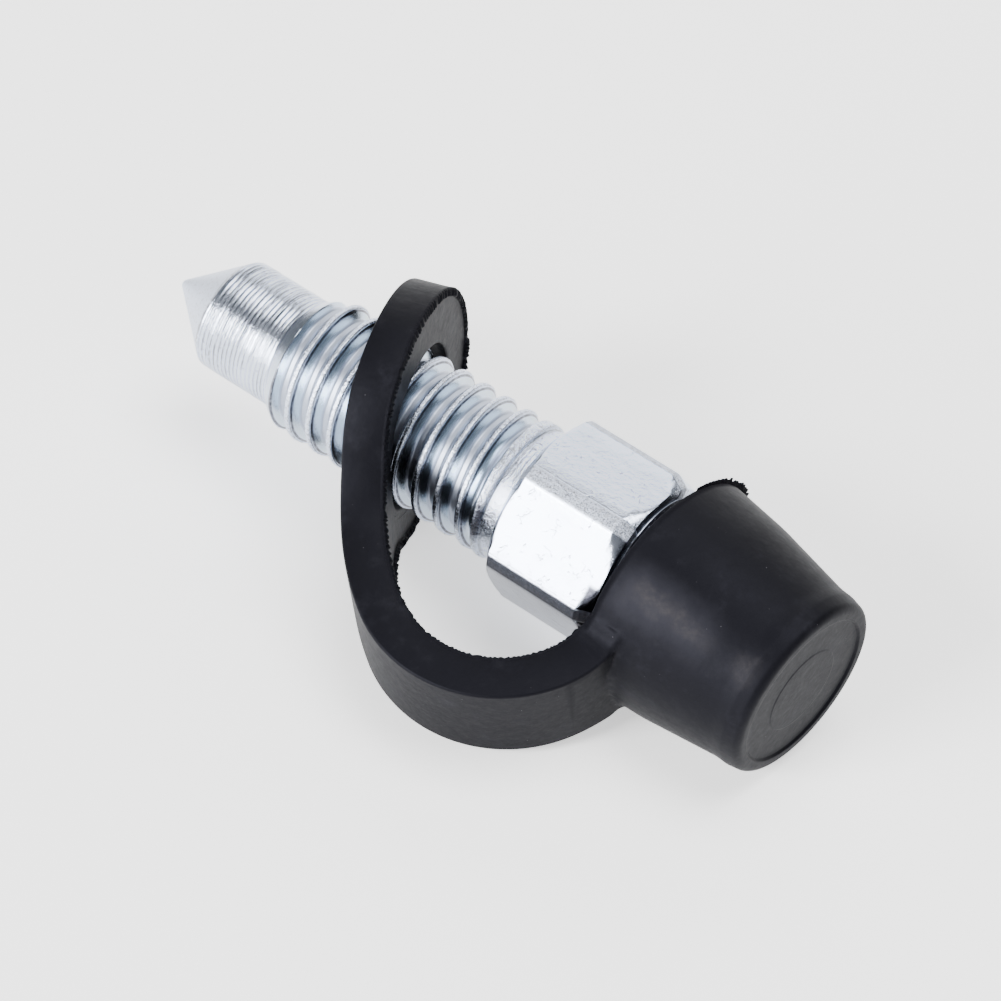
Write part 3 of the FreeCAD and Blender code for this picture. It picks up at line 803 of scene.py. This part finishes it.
def newCoat(name, fixed):
    coat = bpy.data.materials.new(name)
    coat.use_nodes = True
    shader = coat.node_tree.nodes["Principled BSDF"]
    for key, value in fixed.items():
        shader.inputs[key].default_value = value
    return coat, Graph(coat.node_tree), shader


def dressShader(g, shader, colour, rough, height, strength):
    # height is in mm
    bump = g.get("ShaderNodeBump", 0, None, {"Height": height, "Distance": 0.001, "Strength": strength})
    for key, result in (("Base Color", colour), ("Roughness", rough), ("Normal", bump)):
        g.tree.links.new(result.out, shader.inputs[key])


def modelSpot(g):
    # the point in mm on the screw's own axes
    turn = toWorld.to_3x3().normalized().transposed()
    shift = turn @ Vector(lay["shift"])
    return g.get("ShaderNodeMapping", 0, {"vector_type": "POINT"},
                 {"Vector": g.get("ShaderNodeTexCoord", 3), "Location": -shift,
                  "Rotation": turn.to_euler("XYZ"), "Scale": (1000, 1000, 1000)})


def turnOf(g, across, up):
    return g.maths("ARCTAN2", up, across) * (180 / math.pi)


# bright zinc plating, with the marks of the tools under it, and painted shade and painted reflections on the
# thread and the hexagon
zinc = {"bright": (0.58, 0.64, 0.77, 1), "dull": (0.38, 0.40, 0.45, 1), "flank": (0.50, 0.59, 0.68, 1),
        # the last colour here is near black painted shade for the shoulder behind the hexagon
        "dark": (0.03, 0.03, 0.04, 1), "shadowBlack": (0.004, 0.004, 0.006, 1), "rough": 0.22, "bump": 0.85,
        # patterns: scale, detail, roughness, and for those drawn out: along, across, detail, roughness
        "grain": (5.5, 4.0, 0.7), "fine": (14.0, 2.0, 0.6), "cloud": (0.55, 3.0, 0.6),
        "pebble": (2.6, 4.0, 0.6), "pick": (1.3, 2.0, 0.6), "bend": (2.0, 2.0, 0.6), "nick": 1.1, "scar": 1.5,
        "lines": (0.35, 5, 5.0, 0.7), "turned": (6.5, 0.12, 4.0, 0.65), "strength": (0.5, 0.35, 3.0, 0.6),
        "ringWander": 5.0,
        # where a pattern begins to show and where it shows in full
        "levels": {"worn": ("grain", 0.5, 0.62), "strong": ("strength", 0.34, 0.6),
                   "cloudy": ("cloud", 0.52, 0.75), "specked": ("grain", 0.56, 0.66),
                   "landSpeck": ("fine", 0.5, 0.62), "lowSpeck": ("fine", 0.6, 0.68),
                   "gapSpeck": ("grain", 0.58, 0.66), "shadowSpeck": ("grain", 0.6, 0.66),
                   "rimSpeck": ("grain", 0.42, 0.5), "crestSpeck": ("fine", 0.56, 0.64),
                   "grooveSpeck": ("grain", 0.34, 0.52), "edgeSpeck": ("grain", 0.38, 0.55),
                   "nicked": ("cloud", 0.44, 0.56), "scratched": ("pick", 0.56, 0.64)},
        "nickSize": (0.05, 0.15), "scarWidth": (0.006, 0.024), "grooveLevel": (-0.95, -0.3),
        # soft ends of the zones along the axis, in mm from the point
        "cone": (3.5, 3.8), "coneEdge": ((3.52, 3.62), (3.72, 3.85)),
        "zones": {"shank": ((3.5, 4.1), (8.3, 8.6)), "thread": ((8.6, 9.4), (23.0, 23.6)),
                  "neck": ((22.7, 23.0), (24.0, 24.1)), "hexagon": ((24.15, 24.35), (31.15, 31.35))},
        # next: where painted shade behind the hexagon and at its far end begins, and where a painted dark
        # reflection on the thread begins
        "behindHex": (31.08, 31.2), "shadedEnd": (30.3, 30.55), "darkReflectionFrom": (13.5, 16.0),
        # on the thread, out from the axis in mm
        "root": (3.26, 3.42), "flankOut": ((3.3, 3.42), (3.66, 3.74)), "rim": ((3.68, 3.73), (3.8, 3.85)),
        "crest": (3.84, 3.9),
        # degrees round the axis: away from a corner, then from the side of +Y
        # after the plain land, the widths and turns of a painted dark reflection on one low corner land
        "land": (3.2, 5.6), "lowLandReflection": (3.5, 4.3), "lowLandReflectionTurn": ((145.0, 150.0), (172.0, 176.0)),
        # turns of the hexagon's far end, for painted shade, then those of a painted dark reflection on the
        # thread and neck, with its wander
        "shadedEndTurn": ((138.0, 142.0), (177.0, 180.0)), "darkReflectionTurn": ((128.0, 146.0), (158.0, 180.0)),
        "darkReflectionWander": (16, 8),
        # the lowest flat, painted duller and darker as a painted reflection of the shaded floor: which way it
        # faces, and how straight
        "lowFlatWay": (-0.981, -0.194), "lowFlatReflection": (0.875, 0.89),
        # how strongly each mark shows in the colours, the roughness and the height in mm
        # duller colour: real wear and cloudiness, and on the lowest flat a painted reflection of shade
        "dullingAndShade": {"landWear": 1, "crestWear": 0.7, "cloudy": 0.3, "coneWear": 1, "lowFlatReflection": 1},
        # dark colour: real specks, nicks and grooves, and painted shade and painted dark reflections
        "darkMarksAndShade": {"groove": 1, "coneEdge": 0.7, "specks": 1, "root": 0.4, "crestEdgeDark": 1, "darkReflection": 1,
                 "landSpecks": 0.8, "dent": 0.5, "crestSpecks": 0.6, "lowFlatReflection": 0.34, "gap": 1,
                 "shadedEnd": 0.97, "lowLandReflection": 1},
        "roughOn": {"land": 0.22, "crestWear": 0.2, "root": 0.2, "behindHex": 0.3, "cone": 0.1},
        "roughNoise": (0.12, 0.08),
        "grainOn": {"land": 0.11, "crest": 0.05, "neck": 0.05, "shank": 0.012},
        "lift": {"wave": 0.008, "strongWave": 0.02, "turned": 0.02, "turnedShank": 0.05, "grain": 0.004,
                 "pebble": 0.022, "lines": 0.005, "dent": 0.03, "fine": 0.004}}


def zincMarks(g, spot):
    # patterns, zones and a mask for each mark, from 0 to 1
    x, y, z = g.apart(spot)
    out = g.maths("SQRT", y * y + z * z)
    degrees = turnOf(g, y, z)
    fold = g.maths("PINGPONG", degrees - (head["turn"] - 360), 30.0)      # away from the nearest corner

    def drawn(along, across, detail, rough):
        return g.speckle(g.together(x * along, y * across, z * across), 1.0, detail, rough)

    m = {key: g.speckle(spot, *zinc[key]) for key in ("grain", "fine", "cloud", "pebble", "pick", "bend")}
    m.update({key: drawn(*zinc[key]) for key in ("lines", "turned", "strength")})
    m.update({key: g.ramp(m[pattern], low, high) for key, (pattern, low, high) in zinc["levels"].items()})
    m.update({key: g.band(x, *ends) for key, ends in zinc["zones"].items()})
    m["cone"] = g.fade(x, *zinc["cone"])
    m["behindHex"] = g.ramp(x, *zinc["behindHex"])
    # the hexagon's corner lands keep the grain of the bar
    m["land"] = g.fade(fold, *zinc["land"]) * m["hexagon"]
    m["landWear"] = m["land"] * (0.3 + m["worn"] * 0.7)
    m["landSpecks"] = m["land"] * m["landSpeck"]
    # painted reflection: the corner land next to the lowest flat is painted almost black, as a dark
    # reflection
    m["lowLandReflection"] = (g.fade(fold, *zinc["lowLandReflection"]) * m["hexagon"] * g.band(degrees, *zinc["lowLandReflectionTurn"])
                    * (0.93 - m["lowSpeck"] * 0.7))
    wayY, wayZ = zinc["lowFlatWay"]
    # painted reflection: the lowest flat is painted duller and darker, for the shaded floor it mirrors
    m["lowFlatReflection"] = g.ramp((y * wayY + z * wayZ) / out, *zinc["lowFlatReflection"]) * m["hexagon"]
    # painted shade: the hexagon's far end on its lower side, shaded by the cap, is painted almost black
    m["shadedEnd"] = g.ramp(x, *zinc["shadedEnd"]) * g.band(degrees, *zinc["shadedEndTurn"])
    # painted shade: the shoulder behind the hexagon, shaded by the cap's mouth, is darkened
    m["gap"] = m["behindHex"] * (1 - m["gapSpeck"] * 0.35)
    # nicks and short scratches on the flats
    nick = g.fade(g.cells(spot, zinc["nick"]), *zinc["nickSize"]) * m["hexagon"] * m["nicked"]
    bent = g.get("ShaderNodeVectorMath", 0, {"operation": "ADD"},
                 {0: spot, 1: g.together(m["bend"], m["bend"], m["bend"])})
    scar = g.fade(g.cells(bent, zinc["scar"], "DISTANCE_TO_EDGE"), *zinc["scarWidth"])
    m["dent"] = g.most(nick, scar * m["scratched"] * m["hexagon"] * 0.6)
    # the thread, from its root out to its crest
    # painted shade: the thread's roots are painted darker
    m["root"] = g.fade(out, *zinc["root"]) * m["thread"]
    m["flank"] = g.band(out, *zinc["flankOut"]) * m["thread"]
    # dark lines painted along both edges of the crest
    m["crestEdgeDark"] = g.band(out, *zinc["rim"]) * m["thread"] * (0.6 + m["rimSpeck"] * 0.3)
    m["crest"] = g.ramp(out, *zinc["crest"]) * m["thread"]
    m["crestWear"] = m["crest"] * m["worn"]
    m["crestSpecks"] = m["crest"] * m["crestSpeck"]
    # painted reflection: a dark band painted along the thread and neck on the side that faces low and to the
    # front
    wideWander, fineWander = zinc["darkReflectionWander"]
    spread = degrees + (m["cloud"] - 0.5) * wideWander + (m["grain"] - 0.5) * fineWander
    m["darkReflection"] = (g.band(spread, *zinc["darkReflectionTurn"]) * g.ramp(x, *zinc["darkReflectionFrom"])
                  * (m["thread"] * 0.72 + m["neck"] * (0.25 + m["worn"] * 0.4)))
    # turned grooves, the cone and its edge
    m["wave"] = g.maths("SINE", x * (math.tau / shank["Ring pitch"]) + m["turned"] * zinc["ringWander"])
    m["groove"] = (g.fade(m["wave"], *zinc["grooveLevel"]) * m["shank"] * (0.2 + m["strong"] * 0.6)
                   * m["grooveSpeck"])
    m["coneEdge"] = g.band(x, *zinc["coneEdge"]) * m["edgeSpeck"]
    m["coneWear"] = m["cone"] * (0.12 + m["worn"] * 0.3)
    m["specks"] = m["specked"] * (m["cone"] * 0.2 + m["neck"] * 0.75 + m["shank"] * 0.3)
    return m


def makeZinc():
    coat, g, shader = newCoat("zincSteel", {"Metallic": 1.0})
    spot = modelSpot(g)
    m = zincMarks(g, spot)
    # each group takes its strongest mark; besides real wear and dirt, both groups hold painted reflections,
    # and the dark one painted shade too
    dullingAndShade, darkMarksAndShade = (g.most(*(m[key] * amount for key, amount in zinc[kind].items()))
                     for kind in ("dullingAndShade", "darkMarksAndShade"))
    metal = g.blend(m["flank"] * 0.8, g.blend(dullingAndShade, zinc["bright"], zinc["dull"]), zinc["flank"])
    # real dark marks, painted shade and painted reflections darken the metal here
    colour = g.blend(darkMarksAndShade, metal, zinc["dark"])
    # painted shade: behind the hexagon, under the cap's mouth, the metal is painted near black
    colour = g.blend(m["behindHex"] * (0.97 - m["shadowSpeck"] * 0.4), colour, zinc["shadowBlack"])
    wide, close = zinc["roughNoise"]
    rough = sum((m[key] * amount for key, amount in zinc["roughOn"].items()), zinc["rough"])
    rough = rough + (m["cloud"] - 0.5) * wide + (m["fine"] - 0.5) * close
    lift = zinc["lift"]
    grainLift = sum((m[key] * amount for key, amount in zinc["grainOn"].items()), lift["grain"])
    height = (m["wave"] * m["shank"] * (lift["wave"] + m["strong"] * lift["strongWave"])
              + m["turned"] * (1 - m["hexagon"]) * (1 - m["thread"])
              * (lift["turned"] + m["shank"] * lift["turnedShank"])
              + m["grain"] * grainLift + m["pebble"] * m["hexagon"] * lift["pebble"]
              + m["lines"] * m["hexagon"] * lift["lines"] - m["dent"] * lift["dent"]
              + m["fine"] * lift["fine"])
    dressShader(g, shader, colour, rough, height, zinc["bump"])
    return coat


# moulded black rubber, satin, with dust in its skin and a painted highlight along the cap
rubberSkin = {"black": (0.0030, 0.0030, 0.0042, 1), "dust": (0.06, 0.058, 0.065, 1),
              # the bloom colour also paints a broad highlight on the cap, and the next colour a dusty painted
              # highlight
              "bloom": (0.010, 0.010, 0.013, 1), "dustyHighlight": (0.026, 0.024, 0.025, 1), "rough": 0.52,
              "gloss": 0.085, "tint": (0.80, 0.81, 1.0, 1), "bump": 0.5,
              # patterns: scale, detail, roughness
              "fine": (9.0, 3.0, 0.6), "cloud": (0.5, 4.0, 0.6), "patch": (2.2, 5.0, 0.65),
              "pebble": (1.4, 2.0, 0.6), "mote": 1.9, "moteSize": (0.03, 0.07),
              "levels": {"moteArea": ("patch", 0.5, 0.6), "bloomArea": ("cloud", 0.5, 0.72),
                         "bloomPatch": ("patch", 0.35, 0.65), "dustyPatch": ("patch", 0.3, 0.8)},
              # streak of dust and painted highlight on the cap: degrees round its axis, and how much it
              # wanders, then for each layer its half width in degrees and its soft ends along the axis in mm
              "streak": (122.0, 20),
              "layers": {"dustyHighlight": ((0.0, 8.0), (0.7, 2.2), (4.6, 7.0)),
                         "hazeHighlight": ((4.0, 20.0), (0.2, 1.6), (5.2, 7.0)),
                         "endHighlight": ((2.0, 12.0), (7.3, 8.2), (8.6, 9.3))},
              # the rough lip, along and out in mm
              "lip": ((-0.3, -0.1), (0.28, 0.55)), "lipOut": (6.45, 6.7),
              "roughOn": {"patch": 0.18, "fine": 0.1, "torn": 0.15, "lip": 0.35},
              "lift": {"fine": 0.05, "pebble": 0.04, "dust": 0.02}}


def makeBlackRubber():
    skin = rubberSkin
    coat, g, shader = newCoat("blackRubber", {"Metallic": 0.0, "Specular IOR Level": skin["gloss"],
                                              "Specular Tint": skin["tint"]})
    spot = modelSpot(g)
    m = {key: g.speckle(spot, *skin[key]) for key in ("fine", "cloud", "patch", "pebble")}
    m.update({key: g.ramp(m[pattern], low, high) for key, (pattern, low, high) in skin["levels"].items()})
    dust = g.fade(g.cells(spot, skin["mote"]), *skin["moteSize"]) * m["moteArea"]
    bloom = m["bloomArea"] * m["bloomPatch"]
    cupSpot = g.get("ShaderNodeMapping", 0, {"vector_type": "TEXTURE"},
                    {"Vector": spot, "Location": cup["place"],
                     "Rotation": (0, math.radians(-cup["lift"]), math.radians(-cup["droop"]))})
    along, side, up = g.apart(cupSpot)
    middle, wander = skin["streak"]
    away = g.maths("ABSOLUTE", turnOf(g, side, up) - middle + (m["cloud"] - 0.5) * wander)
    layer = {key: g.fade(away, *width) * g.band(along, rise, fall)
             for key, (width, rise, fall) in skin["layers"].items()}
    # painted highlight: a light streak along the cap, partly dust
    dustAndHighlight = g.most(layer["dustyHighlight"], layer["endHighlight"] * 0.6) * (0.25 + m["dustyPatch"] * 0.75)
    # the haze is a painted highlight, in the bloom's colour
    colour = g.blend(g.most(bloom * 0.6, layer["hazeHighlight"]), skin["black"], skin["bloom"])
    colour = g.blend(dust, g.blend(dustAndHighlight, colour, skin["dustyHighlight"]), skin["dust"])
    torn = g.get("ShaderNodeAttribute", 2, {"attribute_name": "torn"})
    out = g.maths("SQRT", side * side + up * up)
    lip = g.band(along, *skin["lip"]) * g.fade(out, *skin["lipOut"])
    on, lift = skin["roughOn"], skin["lift"]
    rough = (skin["rough"] + (m["patch"] - 0.5) * on["patch"] + (m["fine"] - 0.5) * on["fine"]
             + torn * on["torn"] + lip * on["lip"])
    height = m["fine"] * (torn + lip) * lift["fine"] + m["pebble"] * lift["pebble"] + dust * lift["dust"]
    dressShader(g, shader, colour, rough, height, skin["bump"])
    return coat


zincSteel = makeZinc()
blackRubber = makeBlackRubber()
screw = makeScrew()
finishPiece(screw, "bleeder_screw", zincSteel)
print("screw made")
rubber = makeRubber()
finishPiece(rubber, "dust_cap", blackRubber)
print("dust cap made")
